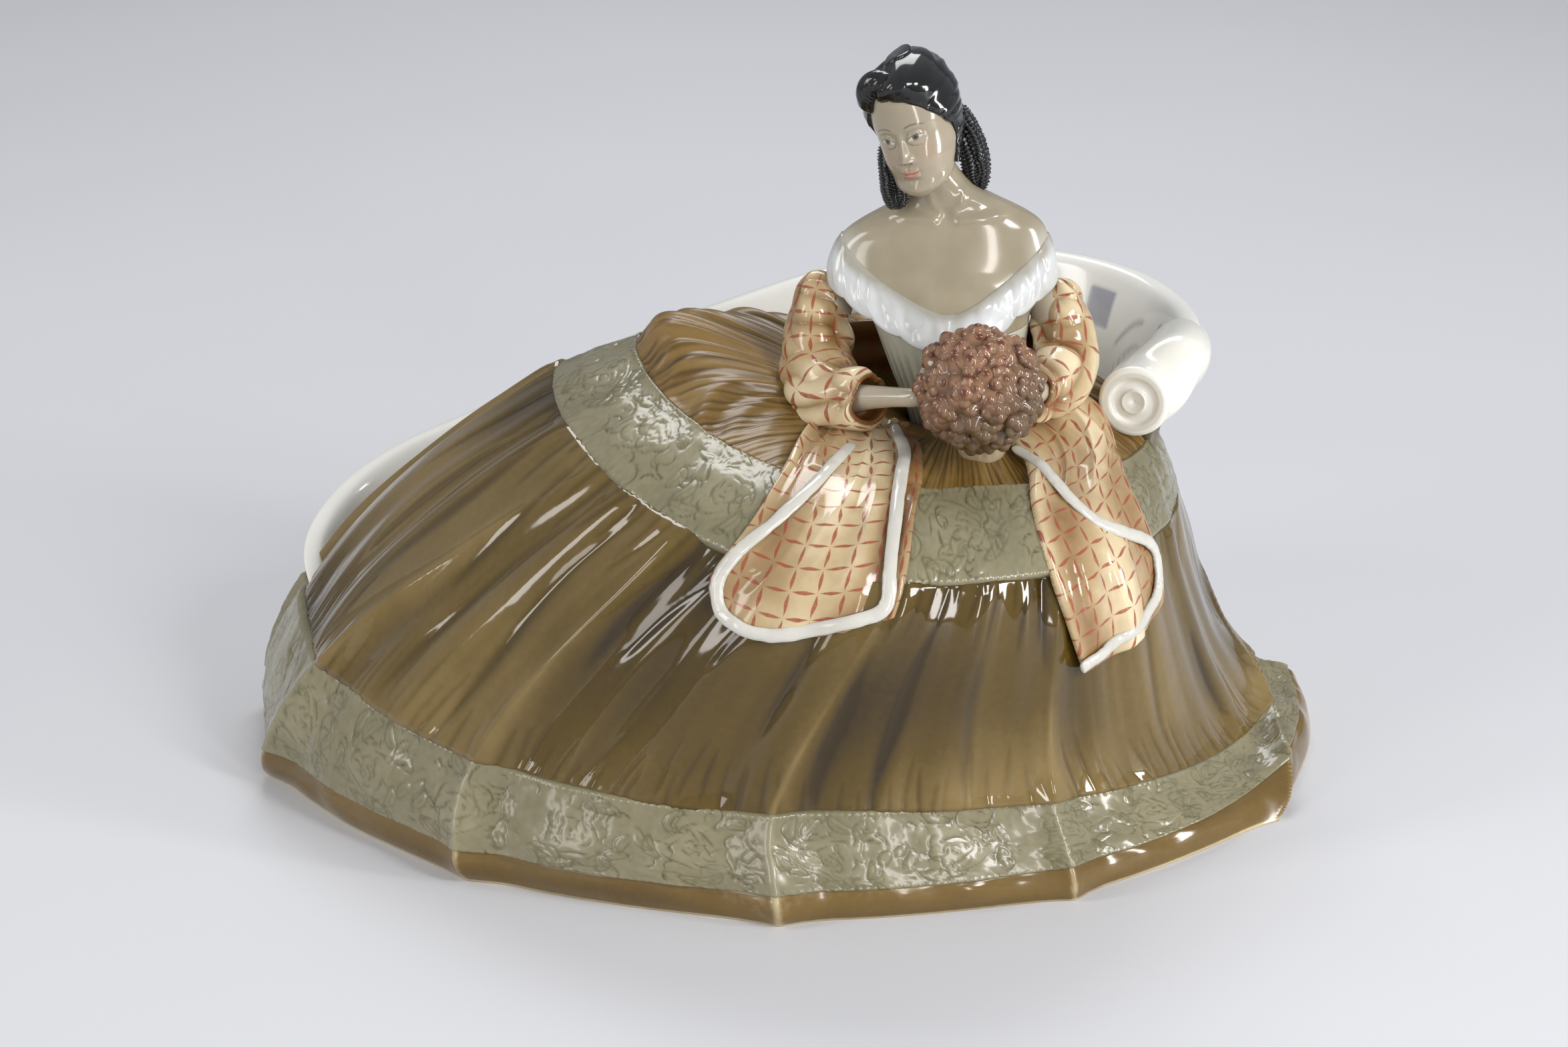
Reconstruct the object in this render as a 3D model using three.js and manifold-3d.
// Seated porcelain lady in a wide crinoline on a scroll-armed sofa. Millimetres, +Z up.
// She faces -Y; left and right are the viewer's, seen from the front.
import * as THREE from "three";
import { mergeVertices } from "three/addons/utils/BufferGeometryUtils.js";
import Module from "manifold-3d";

// Clearances and wall thicknesses
const SEAM = 0.3; // gap at every luted joint
const SKIRT_WALL = 3.6;
const BAND_RELIEF = 0.8; // height of the two lace bands over the cloth
const WELD = 1e-4; // vertices nearer than this are one vertex

// Skirt: seven hoops from the waist to the hem, four of them at the top and foot of the two lace bands.
// Each has its centre, its reach to the left, right, front and back, its height and its rise there.
const SKIRT_HOOPS = [
  { at: "waist", x: 58, y: 2, reach: [17, 17, 13, 13], z: 128, rise: [0, 0, 0, 0] },
  { at: "crest", x: 46.5, y: 11, reach: [81.5, 51, 37.5, 37], z: 137.5, rise: [21.5, 1.5, -8.5, 10] },
  { at: "upper top", x: 35.5, y: 21.5, reach: [85, 88, 83, 46], z: 129, rise: [19, -10, -2, 0] },
  { at: "upper foot", x: 33.5, y: 23, reach: [112.5, 100.5, 124, 50], z: 116, rise: [19.5, -19.5, -7, -8] },
  { at: "lower top", x: 3.5, y: 41, reach: [172, 164.5, 148, 50], z: 34, rise: [16, -19, 1, 0] },
  { at: "lower foot", x: 9, y: 40.5, reach: [192, 173, 156.5, 54], z: 10.5, rise: [3, -2, 0, 0] },
  { at: "hem", x: 12, y: 42.5, reach: [193, 175, 156.5, 52], z: 0, rise: [0, 0, 0, 0] },
];
const HOOP_SPACING = 0.5; // power of the chord that sets the spline's knots
const UPPER_BAND = [2, 3]; // hoops at the edges of each lace band
const LOWER_BAND = [4, 5];
const BAND_EDGE = 0.012; // share of the skirt over which a band rises to its full height

// Folds that end as corners on the hem: angle at the hem, drift of the crest up the skirt,
// half width, all in degrees, and height in mm.
const FOLDS = [
  { at: 198, drift: 30, width: 10, height: 7 },
  { at: 234, drift: 0, width: 7, height: 4 },
  { at: 266, drift: 7, width: 8, height: 5.5 },
  { at: 297, drift: 10, width: 7, height: 5 },
  { at: 328, drift: 85, width: 9, height: 7 },
  { at: 12, drift: 0, width: 14, height: 4 },
  { at: 45, drift: 0, width: 12, height: 4 },
  { at: 78, drift: 0, width: 12, height: 4 },
  { at: 112, drift: 0, width: 12, height: 4 },
  { at: 146, drift: 0, width: 12, height: 4 },
  { at: 172, drift: 0, width: 10, height: 4 },
];
const FOLD_START = 0.5; // share of the way from waist to hem where folds begin
const FOLD_SHARPNESS = 1.6;
const FOLD_ROUND = 1.1; // degrees over which a fold's crest is rounded
// Gathers of the cloth: waves of several counts round the skirt, which drift as they run down
const GATHERS = [
  { count: 21, height: 0.55, phase: 0.3, drift: 2.4 },
  { count: 34, height: 0.45, phase: 1.9, drift: -3.1 },
  { count: 49, height: 0.35, phase: 4.1, drift: 2.2 },
];
const GATHER_START = [0.05, 0.18]; // share of the skirt over which the gathers grow from the waist
const GATHER_END = [0.9, 1]; // and over which they fade out at the hem
const BAND_HOLD = 0.65; // share of the gathers that a lace band flattens
const SKIRT_SIDES = 160;
const SKIRT_STEP = 0.08;
const LINING_SIDES = 40;

// Sofa: the outer edge of its rim as seen from above, with its height at each point
const SOFA_RIM = [
  [-168, 36, 54],
  [-171, 56, 63],
  [-160, 81, 74],
  [-138, 96, 85],
  [-108, 105, 96],
  [-60, 114, 117],
  [-19, 118, 132],
  [20, 121, 144],
  [60, 119, 151],
  [95, 109, 153.5],
  [124, 88, 153],
  [138, 62, 152],
  [142.5, 36, 151.5],
  [141, 15, 150],
  [136, 3, 143.5],
  [129.5, -4, 134],
];
const SOFA_WALL = 5;
const SOFA_FLARE = 15; // lean of the back from its foot to its rim
const FLARE_DEPTH = 24; // depth below the rim over which most of that lean happens
const LIP_PROUD = 2.2;
const LIP_HEIGHT = 6.5;
const LIP_ROUND = 1.6;
const SEAT_TOP = 52;
const SEAT_THICKNESS = 20;
const SEAT_ROUND = 3;
const SCROLL = { x: 116, y: -9, z: 137, radius: 11.6, length: 46, flare: 6.4, turn: -11, dip: 4 };

// Body: stacks of oval sections, each with its centre, half width, and depth to front and back
const BODICE_RINGS = [
  { x: 58, y: 2, z: 120, half: 15, front: 11, back: 11 },
  { x: 58, y: 2, z: 129, half: 16, front: 12, back: 12 },
  { x: 57.6, y: 2, z: 136, half: 18, front: 13.5, back: 12.5 },
  { x: 57, y: 2.5, z: 145, half: 21, front: 16, back: 13.5 },
  { x: 56.5, y: 3, z: 154, half: 24, front: 19.5, back: 14.5 },
  { x: 55.5, y: 4, z: 162, half: 26, front: 21, back: 15 },
];
const BUST_RINGS = [
  { x: 55.5, y: 4, z: 162, half: 26, front: 21, back: 15 },
  { x: 55, y: 4.5, z: 167, half: 28, front: 20.5, back: 15.5 },
  { x: 53.6, y: 5.5, z: 172, half: 34.5, front: 18.5, back: 15.5 },
  { x: 52.4, y: 6.5, z: 179, half: 37.4, front: 15, back: 14.5 },
  { x: 52.6, y: 7, z: 185, half: 36.4, front: 13, back: 13.5 },
  { x: 53.2, y: 7.4, z: 190.5, half: 34, front: 12, back: 12.8 },
  { x: 54.8, y: 7.8, z: 195, half: 30, front: 11, back: 11.8 },
  { x: 55.4, y: 8, z: 199.5, half: 22.6, front: 10, back: 10.8 },
  { x: 54.2, y: 8, z: 203.5, half: 15.4, front: 9.4, back: 9.8 },
  { x: 51.2, y: 7.6, z: 208.5, half: 10.4, front: 9, back: 9.2 },
  { x: 46.5, y: 5.5, z: 218, half: 8.4, front: 8, back: 8.4 },
];
const BREASTS = { half: 9.5, z: 165, swell: 3.2, width: 8.5, height: 9 };
// Collar: a band round both upper arms, given by its mean height in front, behind and at the shoulders
const COLLAR = {
  x: 52,
  y: 5,
  half: 36.8,
  front: 26.5,
  back: 18,
  thickness: 2,
  width: 9,
  shoulder: 179.5,
  dip: 163.5,
  nape: 176,
  flat: 0.22, // share of the half width over which the front dip stays level
  wave: 0.8,
  waves: 9,
};

// Head: heights run from the chin to the crown in the head's own frame, y to the back
const HEAD = { x: 42.6, y: 0.5, z: 230, turn: -24, nod: 12, lean: -16 };
const HEAD_RINGS = [
  { y: -9.5, z: -20, half: 3.6, front: 3.6, back: 5 },
  { y: -8, z: -18.4, half: 6.8, front: 6.3, back: 8 },
  { y: -4, z: -14, half: 10, front: 10.2, back: 10 },
  { y: -1, z: -8.5, half: 11.9, front: 13.3, back: 13 },
  { y: 0.5, z: -2, half: 12.7, front: 14.6, back: 16 },
  { y: 1.5, z: 5, half: 13.3, front: 15.4, back: 17.5 },
  { y: 2, z: 12, half: 12.6, front: 14.8, back: 17 },
  { y: 2.5, z: 17.4, half: 9.6, front: 11.2, back: 13 },
  { y: 3, z: 20, half: 3.6, front: 4.4, back: 5 },
];
// Relief of the face: place across and up the face, spread across and up, and push in mm
const FACE_RELIEF = [
  { part: "nose tip", x: 0, z: -6.4, wide: 1.7, tall: 1.9, push: 3.4 },
  { part: "nose bridge", x: 0, z: -2.2, wide: 1.4, tall: 3.2, push: 2 },
  { part: "left eye socket", x: -5, z: 0.6, wide: 3, tall: 2.2, push: -1.6 },
  { part: "right eye socket", x: 5, z: 0.6, wide: 3, tall: 2.2, push: -1.6 },
  { part: "mouth", x: 0, z: -11.4, wide: 3.4, tall: 1.9, push: 1.5 },
  { part: "chin", x: 0, z: -17.4, wide: 3.4, tall: 2.4, push: 1.4 },
];
const HAIR_RINGS = [
  { y: 8, z: -14, half: 8, front: 3, back: 5 },
  { y: 6, z: -9, half: 12.8, front: 4, back: 10.5 },
  { y: 4.5, z: -1, half: 14.8, front: 4.4, back: 14.5 },
  { y: 4, z: 6, half: 15.6, front: 7.6, back: 16 },
  { y: 2.5, z: 12, half: 15.2, front: 15.2, back: 16.2 },
  { y: 2, z: 17, half: 12.8, front: 15.4, back: 13.8 },
  { y: 2, z: 20.8, half: 7.6, front: 9.6, back: 8.6 },
  { y: 2, z: 22.4, half: 2.6, front: 3.4, back: 3 },
];

// Limbs, hair bunches and cloth rolls: a spine of points with a radius at each
const FRONT_ROLL = [
  [28.6, -4.4, 235, 2.4],
  [27, -5.4, 240, 3.6],
  [28.4, -6.6, 244.8, 4.2],
  [33, -8.4, 246, 3.8],
  [38.4, -9.4, 244.8, 2.6],
];
const RIGHT_RINGLETS = [
  [56.6, 9, 233.5, 3.2],
  [60, 10.4, 225.5, 4.2],
  [62.6, 10.4, 216.5, 4.6],
  [63.4, 9.6, 209, 4],
  [63, 8.4, 203.4, 2.2],
];
const LEFT_RINGLETS = [
  [34.2, 5, 223, 2.8],
  [35, 2.6, 216, 3.8],
  [36, 0, 208, 4.2],
  [36.8, -2.2, 201.6, 3],
];
const BEADS = { height: 0.5, along: 34, around: 4 };
const CREASES = { lengthwise: 0.9, crosswise: 0.5 };
const LEFT_ARM = [
  [20, 6.5, 172, 7],
  [12.5, 3, 160, 7.4],
  [9, -4, 148, 7],
  [13.5, -17, 142.5, 6.2],
  [25, -29, 146, 4.4],
  [37, -38.5, 149.6, 3.2],
  [45, -43.5, 151, 3.5],
];
const RIGHT_ARM = [
  [84.5, 6.5, 172, 7],
  [91, 2, 160, 7],
  [92.6, -6, 149.5, 6.4],
  [89, -19, 146, 5.2],
  [82.5, -30, 148.5, 4],
  [76.5, -38, 150.5, 3.4],
];
const LEFT_WRAP = [
  [13.4, 9, 177, 4.4],
  [11.4, 6, 169, 8.8],
  [10.4, 2, 159, 11],
  [11, -4, 149, 12.6],
  [16, -15, 142.5, 12.6],
  [25, -26.5, 144.5, 10],
  [29, -31, 146, 8.2],
];
const RIGHT_WRAP = [
  [90.5, 9, 174.5, 4.4],
  [91.5, 6, 167.5, 8],
  [93, 1, 158.5, 10],
  [92.4, -6, 150, 11],
  [88, -17, 146, 11.4],
  [82, -26.5, 147, 10],
  [80, -30.5, 148.2, 8.2],
];
const SHAWL_BACK = { x: 53.5, y: 1, half: 39, back: 19, thickness: 3.4, overWaist: 3, height: 30 };
const SHAWL_HANG = { dip: 5, belly: 3 };

// Shawl ends, laid on the skirt: edges as pairs of angle and share of the way down the skirt
const LEFT_TAIL = {
  left: [[244, 0.2], [245.5, 0.29], [244.5, 0.38], [243, 0.47], [243.2, 0.52], [246.5, 0.547]],
  right: [[250, 0.05], [268, 0.18], [275.4, 0.3], [274.2, 0.38], [272.4, 0.47], [272, 0.526]],
  sag: 0.02,
};
const RIGHT_TAIL = {
  left: [[288, 0.1], [300, 0.26], [298.3, 0.37], [299.2, 0.47], [303, 0.55], [306.5, 0.609]],
  right: [[348, 0.1], [338, 0.25], [328, 0.34], [326, 0.41], [329.8, 0.51], [327.6, 0.56]],
  sag: 0.006,
};
const TAIL_THICKNESS = 2.6;
const TAIL_HEM = 0.9; // extra height of the white border
const TAIL_FOLDS = 1.1; // height of its lengthwise creases
const TAIL_EDGE = 1.8; // height of its outer edge
const TAIL_ROWS = 13;
const TAIL_COLS = 9;

// Bouquet: blossoms on a ball, held in a cone that stands in the lap
const BOUQUET = { x: 62.8, y: -45, z: 155, ball: 17.2, blossom: 5.1, tall: 0.74, blossoms: 23 };
const HOLDER = { x: 65, y: -33, z: 127, foot: 7, middle: 9.4, top: 11 };

const FULL = 2 * Math.PI;
const wasm = await Module();
wasm.setup();

// Glazes seen in the photograph
const GLAZE = {
  olive: { color: 0x8a7550, roughness: 0.12 },
  white: { color: 0xe4e4de, roughness: 0.12 },
  skin: { color: 0xd2cabb, roughness: 0.12 },
  bodice: { color: 0xc3c6b6, roughness: 0.12 },
  collar: { color: 0xe3e6e8, roughness: 0.12 },
  hair: { color: 0x1c1e1d, roughness: 0.1 },
  shawl: { color: 0xdcb676, roughness: 0.14 },
  blossom: { color: 0x93594c, roughness: 0.16 },
  holder: { color: 0xbcae9f, roughness: 0.14 },
};

const figurine = new THREE.Group();
figurine.name = "porcelain_lady";

const radians = THREE.MathUtils.degToRad;
const mix = THREE.MathUtils.lerp;
const smooth = (value, from, to) => THREE.MathUtils.smoothstep(value, from, to);
const bell = (distance) => Math.exp(-distance * distance);

function solidOf(points, faces) {
  const build = (triangles) => {
    const geometry = new THREE.BufferGeometry().setFromPoints(points).setIndex(triangles);
    geometry.deleteAttribute("normal");
    const welded = mergeVertices(geometry, WELD);
    return new wasm.Manifold(
      new wasm.Mesh({
        numProp: 3,
        vertProperties: new Float32Array(welded.attributes.position.array),
        triVerts: new Uint32Array(welded.index.array),
      }),
    );
  };
  const made = build(faces.flat());
  return made.volume() > 0 ? made : build(faces.flatMap(([a, b, c]) => [a, c, b]));
}

// Solid of a closed three.js geometry
function geometrySolid(geometry) {
  const flat = geometry.toNonIndexed().getAttribute("position");
  const corner = (_, i) => new THREE.Vector3().fromBufferAttribute(flat, i);
  const points = Array.from({ length: flat.count }, corner);
  const faces = Array.from({ length: flat.count / 3 }, (_, i) => [i * 3, i * 3 + 1, i * 3 + 2]);
  return solidOf(points, faces);
}

// Two triangles over four corners given in order
const quad = (a, b, c, d) => [[a, b, c], [a, c, d]];

// Closed skin over a stack of loops that have the same number of points, with a fan at each end
function stackSolid(loops) {
  const n = loops[0].length;
  const points = loops.flat();
  const faces = [];
  loops.slice(1).forEach((_, row) => {
    for (let i = 0; i < n; i++) {
      const a = row * n + i;
      const b = row * n + ((i + 1) % n);
      faces.push(...quad(a, b, b + n, a + n));
    }
  });
  [0, loops.length - 1].forEach((row) => {
    const middle = new THREE.Vector3();
    loops[row].forEach((p) => middle.addScaledVector(p, 1 / n));
    const centre = points.push(middle) - 1;
    for (let i = 0; i < n; i++) {
      const a = row * n + i;
      const b = row * n + ((i + 1) % n);
      faces.push(row === 0 ? [centre, b, a] : [centre, a, b]);
    }
  });
  return solidOf(points, faces);
}

// Closed plate between two sheets of points on the same grid
function plateSolid(under, over) {
  const rows = under.length;
  const cols = under[0].length;
  const count = rows * cols;
  const points = [...under.flat(), ...over.flat()];
  const faces = [];
  const at = (r, c) => r * cols + c;
  for (let r = 0; r + 1 < rows; r++) {
    for (let c = 0; c + 1 < cols; c++) {
      const corners = [at(r, c), at(r, c + 1), at(r + 1, c + 1), at(r + 1, c)];
      faces.push(...quad(...corners.map((i) => i + count)));
      faces.push(...quad(...corners.toReversed()));
    }
  }
  const border = [];
  for (let c = 0; c + 1 < cols; c++) border.push(at(0, c));
  for (let r = 0; r + 1 < rows; r++) border.push(at(r, cols - 1));
  for (let c = cols - 1; c > 0; c--) border.push(at(rows - 1, c));
  for (let r = rows - 1; r > 0; r--) border.push(at(r, 0));
  border.forEach((a, i) => {
    const b = border[(i + 1) % border.length];
    faces.push(...quad(a, b, b + count, a + count));
  });
  return solidOf(points, faces);
}

// The largest body left after cutting away other solids
function trimmed(solid, ...cutters) {
  const rest = cutters.reduce((left, cutter) => left.subtract(cutter), solid);
  return rest.decompose().sort((a, b) => b.volume() - a.volume())[0];
}

function addPiece(name, solid, glaze) {
  const mesh = solid.getMesh();
  const geometry = new THREE.BufferGeometry();
  geometry.setAttribute("position", new THREE.BufferAttribute(mesh.vertProperties, 3));
  geometry.setIndex(new THREE.BufferAttribute(mesh.triVerts, 1));
  geometry.computeVertexNormals();
  const piece = new THREE.Mesh(geometry, new THREE.MeshStandardMaterial({ metalness: 0, ...glaze }));
  piece.name = name;
  figurine.add(piece);
}

// Natural cubic spline through stations: the weight of each station at any place along them
function splineThrough(knots) {
  const n = knots.length;
  const gap = (i) => knots[i + 1] - knots[i];
  // Second derivatives at the knots for a unit value at station k
  const bends = knots.map((_, k) => {
    const value = (i) => (i === k ? 1 : 0);
    const diagonal = Array(n).fill(1);
    const right = Array(n).fill(0);
    for (let i = 1; i < n - 1; i++) {
      const pull = (value(i + 1) - value(i)) / gap(i) - (value(i) - value(i - 1)) / gap(i - 1);
      const carry = i > 1 ? gap(i - 1) / diagonal[i - 1] : 0;
      diagonal[i] = 2 * (gap(i) + gap(i - 1)) - carry * (i > 1 ? gap(i - 1) : 0);
      right[i] = 6 * pull - carry * right[i - 1];
    }
    const bend = Array(n).fill(0);
    for (let i = n - 2; i > 0; i--) bend[i] = (right[i] - gap(i) * bend[i + 1]) / diagonal[i];
    return bend;
  });
  return (place) => {
    const i = Math.min(Math.max(knots.findLastIndex((knot) => knot <= place), 0), n - 2);
    const h = gap(i);
    const b = (place - knots[i]) / h;
    const a = 1 - b;
    return bends.map((bend, k) => {
      const line = (k === i ? a : 0) + (k === i + 1 ? b : 0);
      return line + (((a ** 3 - a) * bend[i] + (b ** 3 - b) * bend[i + 1]) * h * h) / 6;
    });
  };
}

// Point of a hoop at an angle from +X towards the back
function hoopPoint(hoop, angle) {
  const c = Math.cos(angle);
  const s = Math.sin(angle);
  const side = c > 0 ? 1 : 0;
  const face = s > 0 ? 3 : 2;
  return new THREE.Vector3(
    hoop.x + hoop.reach[side] * c,
    hoop.y + hoop.reach[face] * s,
    hoop.z + hoop.rise[side] * c * c + hoop.rise[face] * s * s,
  );
}

function hoopKnots() {
  const samples = Array.from({ length: 72 }, (_, i) => (i / 72) * FULL);
  const knots = [0];
  SKIRT_HOOPS.slice(1).forEach((hoop, i) => {
    const chords = samples.map((a) => hoopPoint(hoop, a).distanceTo(hoopPoint(SKIRT_HOOPS[i], a)));
    const mean = chords.reduce((sum, chord) => sum + chord, 0) / chords.length;
    knots.push(knots[i] + mean ** HOOP_SPACING);
  });
  return knots.map((knot) => knot / knots.at(-1));
}

const KNOTS = hoopKnots();
const hoopWeights = splineThrough(KNOTS);

function skirtBase(angle, share) {
  const weights = hoopWeights(share);
  return SKIRT_HOOPS.reduce(
    (sum, hoop, i) => sum.addScaledVector(hoopPoint(hoop, angle), weights[i]),
    new THREE.Vector3(),
  );
}

// Height of folds, gathers and lace bands over the plain skirt
function skirtRelief(angle, share) {
  const band = ([top, foot]) =>
    smooth(share, KNOTS[top] - BAND_EDGE, KNOTS[top]) *
    (1 - smooth(share, KNOTS[foot], KNOTS[foot] + BAND_EDGE));
  const onBand = band(UPPER_BAND) + band(LOWER_BAND);
  const degrees = THREE.MathUtils.radToDeg(angle);
  const fade = smooth(share, FOLD_START, 1);
  const folds = FOLDS.reduce((sum, fold) => {
    const crest = fold.at + fold.drift * (1 - share);
    const apart = THREE.MathUtils.euclideanModulo(degrees - crest + 180, 360) - 180;
    const away = Math.hypot(apart, FOLD_ROUND);
    return sum + fold.height * Math.exp((-FOLD_SHARPNESS * away) / fold.width);
  }, 0);
  const waves = GATHERS.reduce(
    (sum, { count, height, phase, drift }) => sum + height * Math.cos(count * angle + phase + drift * share),
    0,
  );
  const loose = smooth(share, ...GATHER_START) * (1 - smooth(share, ...GATHER_END));
  return BAND_RELIEF * onBand + folds * fade + waves * loose * (1 - BAND_HOLD * onBand);
}

// Point over the skirt; at the hem it moves level, so the rim stays on the floor
function skirtPoint(angle, share, out) {
  const step = 1e-3;
  const inward = Math.min(share, 1 - step);
  const along = skirtBase(angle, inward + step).sub(skirtBase(angle, inward));
  const around = skirtBase(angle + step, inward).sub(skirtBase(angle - step, inward));
  const normal = along.cross(around).normalize();
  normal.z *= Math.min(1, (1 - share) * 8);
  normal.normalize();
  return skirtBase(angle, share).addScaledVector(normal, skirtRelief(angle, share) + out);
}

// Rows of the skirt about a step apart, with extra ones where a lace band begins and ends
function skirtRows(step) {
  const stops = [UPPER_BAND, LOWER_BAND].flatMap(([top, foot]) => [
    KNOTS[top] - BAND_EDGE,
    KNOTS[top],
    KNOTS[foot],
    KNOTS[foot] + BAND_EDGE,
  ]);
  stops.push(1);
  const rows = [0];
  stops.forEach((stop) => {
    const from = rows.at(-1);
    const steps = Math.max(1, Math.round((stop - from) / step));
    for (let i = 1; i <= steps; i++) rows.push(mix(from, stop, i / steps));
  });
  return rows;
}

const skirtLoop = (share, out, sides) =>
  Array.from({ length: sides }, (_, i) => skirtPoint((i / sides) * FULL, share, out));

const skirtSolid = (out) =>
  stackSolid(skirtRows(SKIRT_STEP).map((share) => skirtLoop(share, out, SKIRT_SIDES)));

// Hollow of the skirt, carried on below the floor so that the cut leaves it open
function skirtHollow() {
  const rows = KNOTS.slice(1).flatMap((knot, i) => [mix(KNOTS[i], knot, 0.5), knot]);
  const loops = rows.map((share) => skirtLoop(share, -SKIRT_WALL, LINING_SIDES));
  const below = loops.at(-1).map((p) => p.clone().setZ(-SKIRT_WALL));
  return stackSolid([...loops, below]);
}

// Oval stack for body, head and hair: rings grown sideways, joined by a spline over their heights
function ovalStack(rings, { sides, rows, grow = 0, relief = () => 0 }) {
  const heights = rings.map((ring) => ring.z);
  const weightsAt = splineThrough(heights);
  return Array.from({ length: rows + 1 }, (_, r) => {
    const share = r / rows;
    const z = mix(heights[0], heights.at(-1), share);
    const weights = weightsAt(z);
    const blend = (key) => rings.reduce((sum, ring, i) => sum + (ring[key] ?? 0) * weights[i], 0);
    const lift = r === 0 ? -grow : r === rows ? grow : 0;
    const [x, y, half, front, back] = ["x", "y", "half", "front", "back"].map(blend);
    return Array.from({ length: sides }, (_, i) => {
      const c = Math.cos((i / sides) * FULL);
      const s = Math.sin((i / sides) * FULL);
      const push = grow + relief(x + c * half, z, s);
      return new THREE.Vector3(x + c * (half + push), y + s * ((s > 0 ? back : front) + push), z + lift);
    });
  });
}

// Round tube along a spine of [x, y, z, radius], with the radius changed by a relief if there is one
function limbSolid(spine, { sides = 12, steps = 12, grow = 0, relief = () => 0 }) {
  const curve = new THREE.CatmullRomCurve3(spine.map(([x, y, z]) => new THREE.Vector3(x, y, z)));
  const radii = new THREE.SplineCurve(spine.map(([, , , r], i) => new THREE.Vector2(i, r)));
  const loops = [];
  let side = new THREE.Vector3(1, 0, 0);
  for (let k = 0; k <= steps; k++) {
    const share = k / steps;
    const centre = curve.getPoint(share);
    const ahead = curve.getTangent(share);
    side = side.clone().addScaledVector(ahead, -side.dot(ahead)).normalize();
    const other = ahead.clone().cross(side);
    const cap = Math.sqrt(Math.max(0.15, 1 - (2 * Math.abs(share - 0.5)) ** 8));
    const radius = radii.getPoint(share).y * cap + grow;
    loops.push(
      Array.from({ length: sides }, (_, i) => {
        const angle = (i / sides) * FULL;
        const r = radius + relief(share, angle);
        return centre
          .clone()
          .addScaledVector(side, r * Math.cos(angle))
          .addScaledVector(other, r * Math.sin(angle));
      }),
    );
  }
  const reach = grow || 0.01;
  loops[0].forEach((p) => p.addScaledVector(curve.getTangent(0), -reach));
  loops.at(-1).forEach((p) => p.addScaledVector(curve.getTangent(1), reach));
  return stackSolid(loops);
}

// Body of the lady
function bustRelief(x, z, facing) {
  if (facing > 0) return 0;
  const middle = BUST_RINGS[0].x;
  return [-1, 1].reduce((sum, side) => {
    const across = (x - middle - side * BREASTS.half) / BREASTS.width;
    return sum + BREASTS.swell * bell(across) * bell((z - BREASTS.z) / BREASTS.height) * -facing;
  }, 0);
}

const bodiceSolid = (grow) =>
  stackSolid(ovalStack(BODICE_RINGS, { sides: 26, rows: 7, grow, relief: bustRelief }));
const bustSolid = (grow) =>
  stackSolid(ovalStack(BUST_RINGS, { sides: 26, rows: 14, grow, relief: bustRelief }));

// Off-the-shoulder collar: a band that dips to a point in front and crosses the upper arms
function collarSolid(grow) {
  const sides = 30;
  const loop = (height, out) =>
    Array.from({ length: sides }, (_, i) => {
      const angle = (i / sides) * FULL;
      const s = Math.sin(angle);
      const c = Math.cos(angle);
      const middle = s < 0 ? COLLAR.dip : COLLAR.nape;
      const climb = Math.max(0, (Math.abs(c) - COLLAR.flat) / (1 - COLLAR.flat));
      const wave = COLLAR.wave * Math.sin(angle * COLLAR.waves);
      const depth = s < 0 ? mix(COLLAR.front, COLLAR.back, Math.abs(c)) : COLLAR.back;
      return new THREE.Vector3(
        COLLAR.x + c * (COLLAR.half + out),
        COLLAR.y + s * (depth + out),
        mix(middle, COLLAR.shoulder, climb) + height * (COLLAR.width / 2) + wave,
      );
    });
  // Section of the band: lower edge, rounded face and upper edge, with its back buried in the bust
  const buried = -3 * COLLAR.thickness;
  const profile = [
    [-1, buried - grow],
    [-1, COLLAR.thickness / 2 + grow],
    [0, COLLAR.thickness + grow],
    [1, grow],
    [1, 2 * buried - grow],
  ];
  return ringSolid(profile.map(([height, out]) => loop(height * (1 + grow / COLLAR.width), out)));
}

// Closed ring whose section runs through the given loops
function ringSolid(loops) {
  const n = loops[0].length;
  const faces = [];
  loops.forEach((_, row) => {
    const next = (row + 1) % loops.length;
    for (let i = 0; i < n; i++) {
      const j = (i + 1) % n;
      faces.push(...quad(row * n + i, row * n + j, next * n + j, next * n + i));
    }
  });
  return solidOf(loops.flat(), faces);
}

// Head and hair share a frame that turns, nods and leans about the head's middle
const headFrame = new THREE.Matrix4().compose(
  new THREE.Vector3(HEAD.x, HEAD.y, HEAD.z),
  new THREE.Quaternion().setFromEuler(
    new THREE.Euler(radians(HEAD.nod), radians(HEAD.lean), radians(HEAD.turn), "ZYX"),
  ),
  new THREE.Vector3(1, 1, 1),
);
const inHeadFrame = (loops) => loops.map((loop) => loop.map((p) => p.applyMatrix4(headFrame)));

function faceRelief(x, z, facing) {
  if (facing > -0.2) return 0;
  return FACE_RELIEF.reduce(
    (sum, { push, x: across, z: up, wide, tall }) =>
      sum - facing * push * bell((x - across) / wide) * bell((z - up) / tall),
    0,
  );
}

const headSolid = () =>
  stackSolid(inHeadFrame(ovalStack(HEAD_RINGS, { sides: 32, rows: 19, relief: faceRelief })));
const skullSolid = (grow) => stackSolid(inHeadFrame(ovalStack(HEAD_RINGS, { sides: 20, rows: 10, grow })));
const hairSolid = (grow) => stackSolid(inHeadFrame(ovalStack(HAIR_RINGS, { sides: 24, rows: 11, grow })));

// Knobbly surface of hair bunches and soft creases of cloth
const beads = (share, angle) =>
  BEADS.height * Math.sin(share * BEADS.along) * Math.cos(angle * BEADS.around);
const creases = (share, angle) =>
  CREASES.lengthwise * Math.sin(angle * 3 + share * 9) + CREASES.crosswise * Math.sin(share * 26 - angle);

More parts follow.
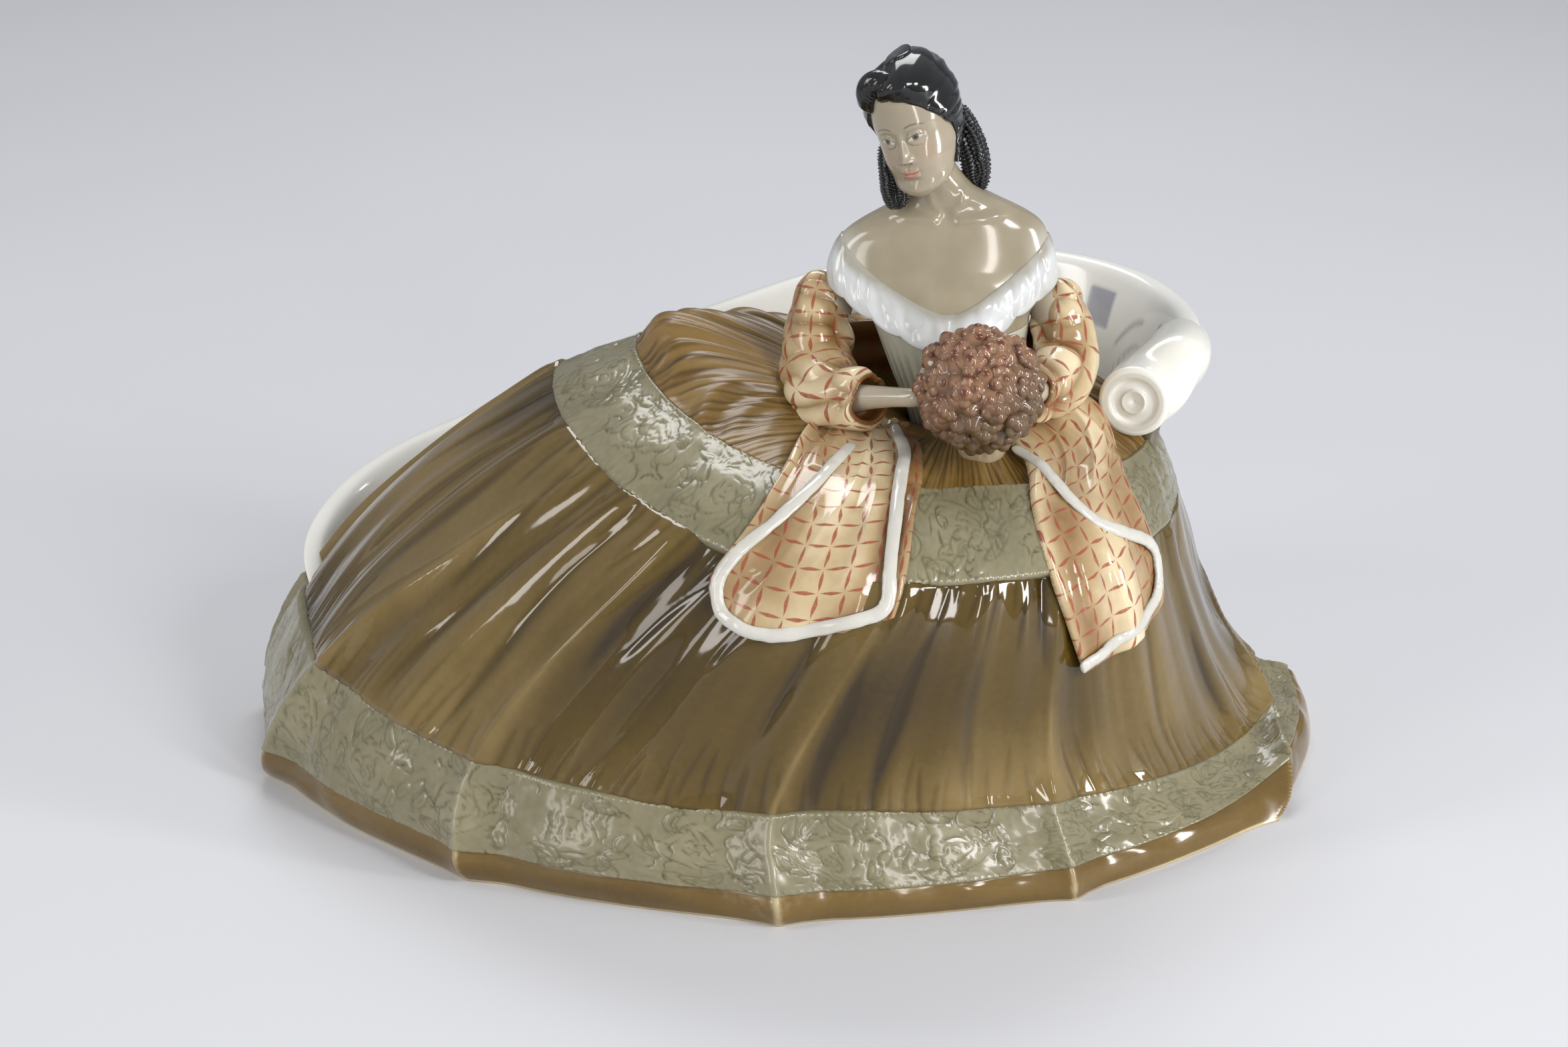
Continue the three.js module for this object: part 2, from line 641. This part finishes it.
// Sofa rim: points along it, with the level direction ahead and the one outward
function rimStations(steps) {
  const curve = new THREE.CatmullRomCurve3(SOFA_RIM.map(([x, y, z]) => new THREE.Vector3(x, y, z)));
  return Array.from({ length: steps + 1 }, (_, k) => {
    const share = k / steps;
    const ahead = curve.getTangent(share).setZ(0).normalize();
    return { share, rim: curve.getPoint(share), ahead, outward: new THREE.Vector3(-ahead.y, ahead.x, 0) };
  });
}

// Inward lean of the wall at a depth below its rim
const wallLean = (depth) => SOFA_FLARE * (1 - Math.exp(-depth / FLARE_DEPTH));

// Sofa wall: one section per station of the rim, leaning out towards the lip
function sofaWall(grow) {
  const half = SOFA_WALL / 2;
  const loops = rimStations(30).map(({ share, rim, ahead, outward }) => {
    const middle = rim.clone().addScaledVector(outward, -half - LIP_PROUD);
    if (share === 0) middle.addScaledVector(ahead, -grow);
    if (share === 1) middle.addScaledVector(ahead, grow);
    const lip = half + LIP_PROUD * (1 - smooth(share, 0.9, 0.94)) + grow;
    const spot = (z, out) => middle.clone().setZ(z).addScaledVector(outward, out - wallLean(rim.z - z));
    const side = (out) => [0.72, 0.4, 0].map((part) => spot(part * rim.z, out));
    return [
      ...side(-half - grow).toReversed(),
      spot(rim.z - 14, -half - grow),
      spot(rim.z - LIP_ROUND, -half - grow),
      spot(rim.z + grow, 0),
      spot(rim.z - LIP_ROUND, lip),
      spot(rim.z - LIP_HEIGHT, lip),
      spot(rim.z - LIP_HEIGHT - LIP_ROUND, half + grow),
      ...side(half + grow),
    ];
  });
  return stackSolid(loops);
}

// Rolled arm: a horn that widens from its ringed front disc back to the corner of the sofa
function scrollSolid(grow) {
  const { length, flare } = SCROLL;
  const radius = SCROLL.radius + grow;
  const profile = [
    [0, 0.8 - grow],
    [radius * 0.3, -grow],
    [radius * 0.42, 0.9 - grow],
    [radius * 0.62, 0.9 - grow],
    [radius * 0.74, -grow],
    [radius * 0.9, -grow],
    [radius, 1.4 - grow],
    [radius + 0.2, 4],
    [radius + flare * 0.25, length * 0.4],
    [radius + flare * 0.7, length * 0.75],
    [radius + flare, length + grow],
    [0, length + grow],
  ];
  const points = profile.map(([r, along]) => new THREE.Vector2(r, along));
  const geometry = new THREE.LatheGeometry(points, 22);
  geometry.rotateX(-radians(SCROLL.dip)).rotateZ(radians(SCROLL.turn));
  geometry.translate(SCROLL.x, SCROLL.y, SCROLL.z);
  return geometrySolid(geometry);
}

// Seat: fills the sofa inside its wall, with a rounded top edge
function seatSolid() {
  const level = (z, inset) =>
    rimStations(26).map(({ rim, outward }) => {
      const inner = LIP_PROUD + SOFA_WALL / 2 + wallLean(rim.z - z) + inset;
      return rim.clone().addScaledVector(outward, -inner).setZ(z);
    });
  const foot = SEAT_TOP - SEAT_THICKNESS;
  return stackSolid([level(foot, 0), level(SEAT_TOP - SEAT_ROUND, 0), level(SEAT_TOP, SEAT_ROUND)]);
}

// Shawl end: a sheet over the skirt between two edges, creased lengthwise, with a raised border
function tailSolid(tail) {
  const weightsAt = splineThrough(tail.left.map((_, i) => i));
  const edgeAt = (edge, place) => {
    const weights = weightsAt(place * (edge.length - 1));
    return [0, 1].map((axis) => edge.reduce((sum, spot, i) => sum + spot[axis] * weights[i], 0));
  };
  const sheet = (heightAt) =>
    Array.from({ length: TAIL_ROWS + 1 }, (_, r) => {
      const down = r / TAIL_ROWS;
      const left = edgeAt(tail.left, down);
      const right = edgeAt(tail.right, down);
      return Array.from({ length: TAIL_COLS + 1 }, (_, c) => {
        const across = c / TAIL_COLS;
        const sag = tail.sag * Math.sin(Math.PI * across) * down ** 4;
        const share = mix(left[1], right[1], across) + sag;
        return skirtPoint(radians(mix(left[0], right[0], across)), share, heightAt(r, c));
      });
    });
  const over = (r, c) => {
    const inwards = Math.min(c, TAIL_COLS - c, TAIL_ROWS - r);
    if (inwards === 0) return TAIL_EDGE;
    const crease = TAIL_FOLDS * Math.cos((c / TAIL_COLS) * 3 * Math.PI + (2 * r) / TAIL_ROWS);
    return TAIL_THICKNESS + crease + (inwards === 1 ? TAIL_HEM : 0);
  };
  return plateSolid(sheet(() => -TAIL_EDGE), sheet(over));
}

// Shawl behind the waist, hung between the two arms
function shawlBackSolid() {
  const cols = 14;
  const rows = 3;
  const foot = SKIRT_HOOPS[0].z + SHAWL_BACK.overWaist;
  const sheet = (out) =>
    Array.from({ length: rows + 1 }, (_, r) => {
      const up = r / rows;
      return Array.from({ length: cols + 1 }, (_, c) => {
        const across = c / cols;
        const angle = Math.PI * (1 - across);
        const sag = SHAWL_HANG.dip * Math.sin(Math.PI * across);
        const swell = out + SHAWL_HANG.belly * Math.sin(Math.PI * up);
        return new THREE.Vector3(
          SHAWL_BACK.x + Math.cos(angle) * (SHAWL_BACK.half + swell),
          SHAWL_BACK.y + Math.sin(angle) * (SHAWL_BACK.back + swell),
          foot + (SHAWL_BACK.height - sag) * up,
        );
      });
    });
  return plateSolid(sheet(0), sheet(SHAWL_BACK.thickness));
}

// Blossoms spread evenly over the front of the ball, and the places they leave between them
function blossomSpots() {
  const spots = [];
  const spiral = Math.PI * (3 - Math.sqrt(5));
  for (let i = 0; i < BOUQUET.blossoms; i++) {
    const back = mix(-1, 0.16, (i + 0.5) / BOUQUET.blossoms);
    const ring = Math.sqrt(1 - back * back);
    const angle = i * spiral;
    spots.push(new THREE.Vector3(ring * Math.cos(angle), back, ring * Math.sin(angle)));
  }
  return spots;
}

// Blossom: a petalled dome whose flat foot sits on the ball
function blossomSolid(direction) {
  const sides = 9;
  const { blossom, ball, tall } = BOUQUET;
  const slopes = [-0.2, -0.02, 0.18, 0.36];
  const foot = Math.sin(slopes[0] * Math.PI);
  const loops = slopes.map((slope) =>
    Array.from({ length: sides }, (_, i) => {
      const angle = (i / sides) * FULL;
      const wide = blossom * Math.cos(slope * Math.PI) * (1 + 0.1 * Math.cos(angle * 3));
      const height = tall * blossom * (Math.sin(slope * Math.PI) - foot);
      return new THREE.Vector3(wide * Math.cos(angle), wide * Math.sin(angle), ball + SEAM + height);
    }),
  );
  const frame = new THREE.Quaternion().setFromUnitVectors(new THREE.Vector3(0, 0, 1), direction);
  const centre = new THREE.Vector3(BOUQUET.x, BOUQUET.y, BOUQUET.z);
  return stackSolid(loops.map((loop) => loop.map((p) => p.applyQuaternion(frame).add(centre))));
}

const ballSolid = (radius) =>
  geometrySolid(new THREE.SphereGeometry(radius, 18, 10).translate(BOUQUET.x, BOUQUET.y, BOUQUET.z));

function holderSolid(grow) {
  const place = (share) => ["x", "y", "z"].map((key) => mix(HOLDER[key], BOUQUET[key], share));
  const station = (share, radius) => [...place(share), radius];
  const spine = [station(0, HOLDER.foot), station(0.4, HOLDER.middle), station(0.8, HOLDER.top)];
  return limbSolid(spine, { sides: 14, steps: 5, grow });
}

// Assembly: each piece is cut back from those that carry it
const skirtOver = skirtSolid(SEAM);
const bodice = bodiceSolid(0);
const bodiceOver = bodiceSolid(SEAM);
const bust = bustSolid(0).subtract(bodiceOver);
const bustOver = bustSolid(SEAM);
const collarOver = collarSolid(SEAM);
const skullOver = skullSolid(3 * SEAM);
const hairOver = hairSolid(SEAM);
const wallOver = sofaWall(SEAM);
const scrollOver = scrollSolid(SEAM);
const leftArmOver = limbSolid(LEFT_ARM, { grow: SEAM });
const rightArmOver = limbSolid(RIGHT_ARM, { grow: SEAM });
const leftWrapOver = limbSolid(LEFT_WRAP, { grow: SEAM, sides: 14, relief: creases });
const rightWrapOver = limbSolid(RIGHT_WRAP, { grow: SEAM, sides: 14, relief: creases });

addPiece("skirt", trimmed(skirtSolid(0).subtract(skirtHollow()), bodiceOver), GLAZE.olive);
addPiece("sofa_back", trimmed(sofaWall(0), skirtOver), GLAZE.white);
addPiece("sofa_arm_scroll", trimmed(scrollSolid(0), wallOver, skirtOver), GLAZE.white);
addPiece("sofa_seat", trimmed(seatSolid(), wallOver, skirtOver), GLAZE.white);
addPiece("bodice", trimmed(bodice), GLAZE.bodice);
addPiece("bust", trimmed(bust), GLAZE.skin);
addPiece("collar", trimmed(collarSolid(0), bustOver, bodiceOver), GLAZE.collar);
addPiece("head", trimmed(headSolid(), bustOver), GLAZE.skin);
addPiece("hair", trimmed(hairSolid(0), skullOver, bustOver), GLAZE.hair);
addPiece(
  "hair_front_roll",
  trimmed(limbSolid(FRONT_ROLL, { sides: 16 }), hairOver, skullOver),
  GLAZE.hair,
);
addPiece(
  "ringlets_left",
  trimmed(limbSolid(LEFT_RINGLETS, { relief: beads }), hairOver, skullOver, bustOver),
  GLAZE.hair,
);
addPiece(
  "ringlets_right",
  trimmed(limbSolid(RIGHT_RINGLETS, { relief: beads }), hairOver, skullOver, bustOver),
  GLAZE.hair,
);

const ballOver = ballSolid(BOUQUET.ball + SEAM);
const holderOver = holderSolid(SEAM);
const bodyOver = [bustOver, bodiceOver, collarOver, skirtOver];
addPiece("arm_left", trimmed(limbSolid(LEFT_ARM, {}), ...bodyOver, ballOver), GLAZE.skin);
addPiece("arm_right", trimmed(limbSolid(RIGHT_ARM, {}), ...bodyOver, ballOver), GLAZE.skin);
addPiece(
  "shawl_left_sleeve",
  trimmed(limbSolid(LEFT_WRAP, { sides: 14, relief: creases }), ...bodyOver, leftArmOver, ballOver),
  GLAZE.shawl,
);
addPiece(
  "shawl_right_sleeve",
  trimmed(
    limbSolid(RIGHT_WRAP, { sides: 14, relief: creases }),
    ...bodyOver,
    rightArmOver,
    ballOver,
    scrollOver,
  ),
  GLAZE.shawl,
);
addPiece(
  "shawl_back",
  trimmed(shawlBackSolid(), ...bodyOver, leftArmOver, rightArmOver, leftWrapOver, rightWrapOver),
  GLAZE.shawl,
);
addPiece(
  "shawl_left_end",
  trimmed(tailSolid(LEFT_TAIL), skirtOver, leftWrapOver, leftArmOver, bodiceOver, ballOver, holderOver),
  GLAZE.shawl,
);
addPiece(
  "shawl_right_end",
  trimmed(
    tailSolid(RIGHT_TAIL),
    skirtOver,
    scrollOver,
    rightWrapOver,
    rightArmOver,
    bodiceOver,
    ballOver,
    holderOver,
  ),
  GLAZE.shawl,
);

addPiece(
  "bouquet_ball",
  trimmed(ballSolid(BOUQUET.ball), skirtOver),
  GLAZE.blossom,
);
addPiece(
  "bouquet_holder",
  trimmed(holderSolid(0), ballOver, skirtOver, leftArmOver, rightArmOver),
  GLAZE.holder,
);
blossomSpots().forEach((direction, i) => {
  const others = [skirtOver, leftArmOver, rightArmOver, leftWrapOver, rightWrapOver, holderOver, bodiceOver];
  const name = "blossom_" + String(i + 1).padStart(2, "0");
  addPiece(name, trimmed(blossomSolid(direction), ...others), GLAZE.blossom);
});

// The part's origin is the middle of its footprint
const box = new THREE.Box3().setFromObject(figurine, true);
const middle = box.getCenter(new THREE.Vector3());
figurine.position.set(-middle.x, -middle.y, 0);

export default figurine;
